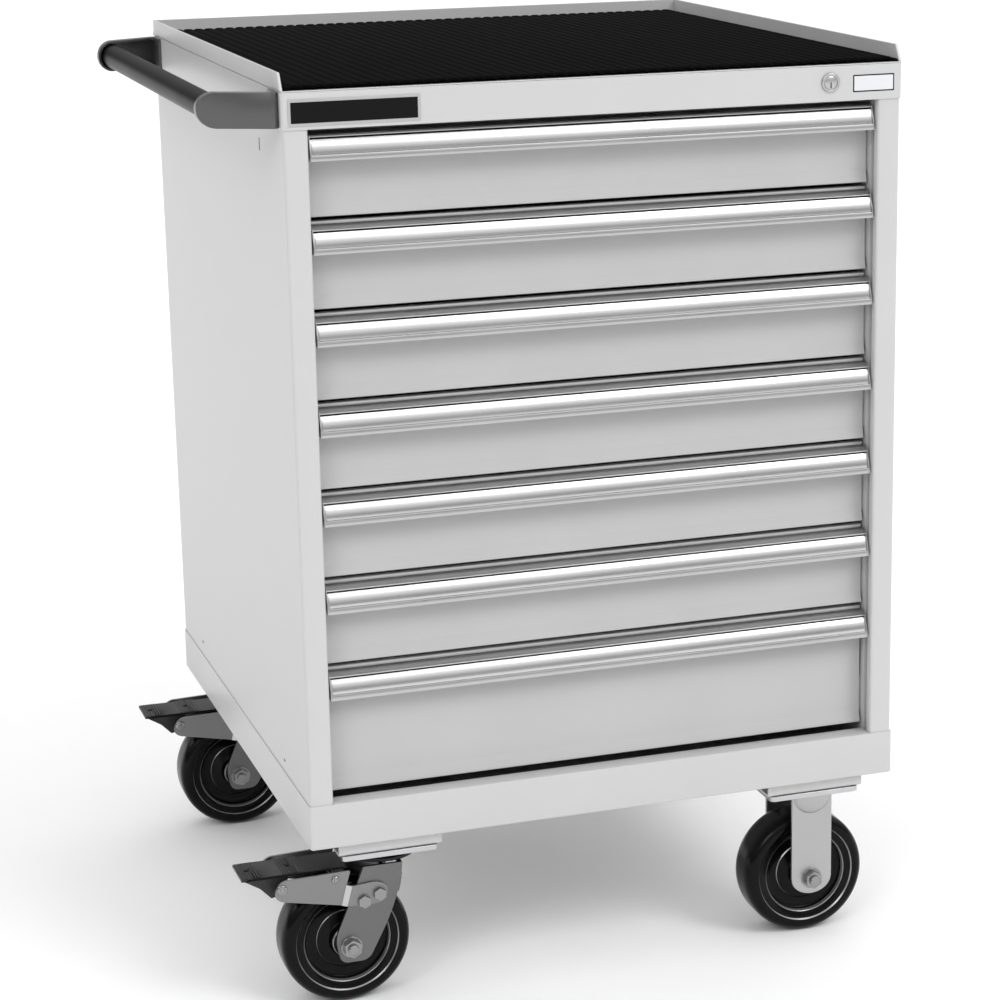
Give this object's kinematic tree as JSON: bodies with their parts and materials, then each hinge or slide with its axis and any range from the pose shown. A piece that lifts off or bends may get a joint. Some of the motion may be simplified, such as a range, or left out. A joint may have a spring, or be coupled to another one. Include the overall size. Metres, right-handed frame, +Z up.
{
  "type": "rolling tool chest",
  "caption": "Light grey rolling tool chest with full-width drawer pulls, a lined top tray, a side push handle and black casters.",
  "frame": {"origin": "on the floor under the middle of the overall footprint, handle and lock face included", "axes": "+Z up, -Y towards the drawers' open side, +X to the right of someone facing the drawers; the handle is on the -X side"},
  "size_m": [0.7986, 0.7264, 1.0777],
  "materials": {
    "grey_paint": "semi-gloss",
    "black_paint": "satin",
    "aluminium": "satin",
    "zinc": "bright zinc plate",
    "steel": "plain",
    "chrome": "polished",
    "black_rubber": "matt",
    "black_plastic": "satin",
    "black_phenolic": "satin"
  },
  "bodies": {
    "housing": {"side_panel_left": "grey_paint", "side_panel_right": "grey_paint", "back_panel": "grey_paint", "base_pan": "grey_paint", "top_rail": "grey_paint", "top_tray": "grey_paint", "rubber_mat": "black_rubber", "rail_posts": "grey_paint", "cabinet_rails": "zinc", "caster_risers": "grey_paint", "handle_brackets": "black_paint", "handle_bar": "black_paint", "lock_body": "chrome", "swivel_plates": "zinc", "rigid_forks": "zinc", "rigid_axle_bolts": "steel"},
    "drawer_1": {"drawer_box_1": "grey_paint", "drawer_pull_1": "aluminium", "drawer_rails_1": "zinc"},
    "middle_slide_1": {"middle_rails_1": "zinc"},
    "drawer_2": {"drawer_box_2": "grey_paint", "drawer_pull_2": "aluminium", "drawer_rails_2": "zinc"},
    "middle_slide_2": {"middle_rails_2": "zinc"},
    "drawer_3": {"drawer_box_3": "grey_paint", "drawer_pull_3": "aluminium", "drawer_rails_3": "zinc"},
    "middle_slide_3": {"middle_rails_3": "zinc"},
    "drawer_4": {"drawer_box_4": "grey_paint", "drawer_pull_4": "aluminium", "drawer_rails_4": "zinc"},
    "middle_slide_4": {"middle_rails_4": "zinc"},
    "drawer_5": {"drawer_box_5": "grey_paint", "drawer_pull_5": "aluminium", "drawer_rails_5": "zinc"},
    "middle_slide_5": {"middle_rails_5": "zinc"},
    "drawer_6": {"drawer_box_6": "grey_paint", "drawer_pull_6": "aluminium", "drawer_rails_6": "zinc"},
    "middle_slide_6": {"middle_rails_6": "zinc"},
    "drawer_7": {"drawer_box_7": "grey_paint", "drawer_pull_7": "aluminium", "drawer_rails_7": "zinc"},
    "middle_slide_7": {"middle_rails_7": "zinc"},
    "lock_turning": {"lock_plug": "chrome", "lock_rod": "zinc"},
    "lock_bar": {"lock_bar": "zinc"},
    "swivel_front": {"swivel_fork_front": "zinc", "swivel_axle_front": "steel", "brake_bracket_front": "zinc"},
    "pedal_front": {"brake_pedal_front": "black_plastic"},
    "wheel_front_left": {"wheel_front_left": "black_phenolic"},
    "wheel_front_right": {"wheel_front_right": "black_phenolic"},
    "swivel_rear": {"swivel_fork_rear": "zinc", "swivel_axle_rear": "steel", "brake_bracket_rear": "zinc"},
    "pedal_rear": {"brake_pedal_rear": "black_plastic"},
    "wheel_rear_left": {"wheel_rear_left": "black_phenolic"},
    "wheel_rear_right": {"wheel_rear_right": "black_phenolic"}
  },
  "joints": [
    {"name": "drawer_1_slide", "type": "slide", "parent": "housing", "child": "drawer_1", "axis": [0, -1, 0], "range_m": [0, 0.62]},
    {"name": "middle_slide_1_slide", "type": "slide", "parent": "housing", "child": "middle_slide_1", "axis": [0, -1, 0], "range_m": [0, 0.31]},
    {"name": "drawer_2_slide", "type": "slide", "parent": "housing", "child": "drawer_2", "axis": [0, -1, 0], "range_m": [0, 0.62]},
    {"name": "middle_slide_2_slide", "type": "slide", "parent": "housing", "child": "middle_slide_2", "axis": [0, -1, 0], "range_m": [0, 0.31]},
    {"name": "drawer_3_slide", "type": "slide", "parent": "housing", "child": "drawer_3", "axis": [0, -1, 0], "range_m": [0, 0.62]},
    {"name": "middle_slide_3_slide", "type": "slide", "parent": "housing", "child": "middle_slide_3", "axis": [0, -1, 0], "range_m": [0, 0.31]},
    {"name": "drawer_4_slide", "type": "slide", "parent": "housing", "child": "drawer_4", "axis": [0, -1, 0], "range_m": [0, 0.62]},
    {"name": "middle_slide_4_slide", "type": "slide", "parent": "housing", "child": "middle_slide_4", "axis": [0, -1, 0], "range_m": [0, 0.31]},
    {"name": "drawer_5_slide", "type": "slide", "parent": "housing", "child": "drawer_5", "axis": [0, -1, 0], "range_m": [0, 0.62]},
    {"name": "middle_slide_5_slide", "type": "slide", "parent": "housing", "child": "middle_slide_5", "axis": [0, -1, 0], "range_m": [0, 0.31]},
    {"name": "drawer_6_slide", "type": "slide", "parent": "housing", "child": "drawer_6", "axis": [0, -1, 0], "range_m": [0, 0.62]},
    {"name": "middle_slide_6_slide", "type": "slide", "parent": "housing", "child": "middle_slide_6", "axis": [0, -1, 0], "range_m": [0, 0.31]},
    {"name": "drawer_7_slide", "type": "slide", "parent": "housing", "child": "drawer_7", "axis": [0, -1, 0], "range_m": [0, 0.62]},
    {"name": "middle_slide_7_slide", "type": "slide", "parent": "housing", "child": "middle_slide_7", "axis": [0, -1, 0], "range_m": [0, 0.31]},
    {"name": "lock_turn", "type": "hinge", "parent": "housing", "child": "lock_turning", "pos_m": [0.3107, -0.3607, 1.0394], "axis": [0, 1, 0], "range_deg": [0, 90]},
    {"name": "lock_bar_slide", "type": "slide", "parent": "housing", "child": "lock_bar", "axis": [0, 0, -1], "range_m": [0, 0.00848]},
    {"name": "swivel_front_turn", "type": "hinge", "parent": "housing", "child": "swivel_front", "pos_m": [-0.223, -0.2997, 0.17], "axis": [0, 0, 1], "continuous": true},
    {"name": "wheel_front_left_spin", "type": "hinge", "parent": "swivel_front", "child": "wheel_front_left", "pos_m": [-0.271, -0.2997, 0.0762], "axis": [0, 1, 0], "continuous": true},
    {"name": "pedal_front_press", "type": "hinge", "parent": "swivel_front", "child": "pedal_front", "pos_m": [-0.349, -0.2997, 0.157], "axis": [0, -1, 0], "range_deg": [0, 10]},
    {"name": "wheel_front_right_spin", "type": "hinge", "parent": "housing", "child": "wheel_front_right", "pos_m": [0.304, -0.2997, 0.0762], "axis": [0, 1, 0], "continuous": true},
    {"name": "swivel_rear_turn", "type": "hinge", "parent": "housing", "child": "swivel_rear", "pos_m": [-0.223, 0.3022, 0.17], "axis": [0, 0, 1], "continuous": true},
    {"name": "wheel_rear_left_spin", "type": "hinge", "parent": "swivel_rear", "child": "wheel_rear_left", "pos_m": [-0.271, 0.3022, 0.0762], "axis": [0, 1, 0], "continuous": true},
    {"name": "pedal_rear_press", "type": "hinge", "parent": "swivel_rear", "child": "pedal_rear", "pos_m": [-0.349, 0.3022, 0.157], "axis": [0, -1, 0], "range_deg": [0, 10]},
    {"name": "wheel_rear_right_spin", "type": "hinge", "parent": "housing", "child": "wheel_rear_right", "pos_m": [0.304, 0.3022, 0.0762], "axis": [0, 1, 0], "continuous": true}
  ],
  "couplings": [
    {"joint": "middle_slide_1_slide", "follows": "drawer_1_slide", "ratio": 0.5},
    {"joint": "middle_slide_2_slide", "follows": "drawer_2_slide", "ratio": 0.5},
    {"joint": "middle_slide_3_slide", "follows": "drawer_3_slide", "ratio": 0.5},
    {"joint": "middle_slide_4_slide", "follows": "drawer_4_slide", "ratio": 0.5},
    {"joint": "middle_slide_5_slide", "follows": "drawer_5_slide", "ratio": 0.5},
    {"joint": "middle_slide_6_slide", "follows": "drawer_6_slide", "ratio": 0.5},
    {"joint": "middle_slide_7_slide", "follows": "drawer_7_slide", "ratio": 0.5},
    {"joint": "lock_turn", "follows": "lock_bar_slide", "rad_per_m": 185.13}
  ]
}
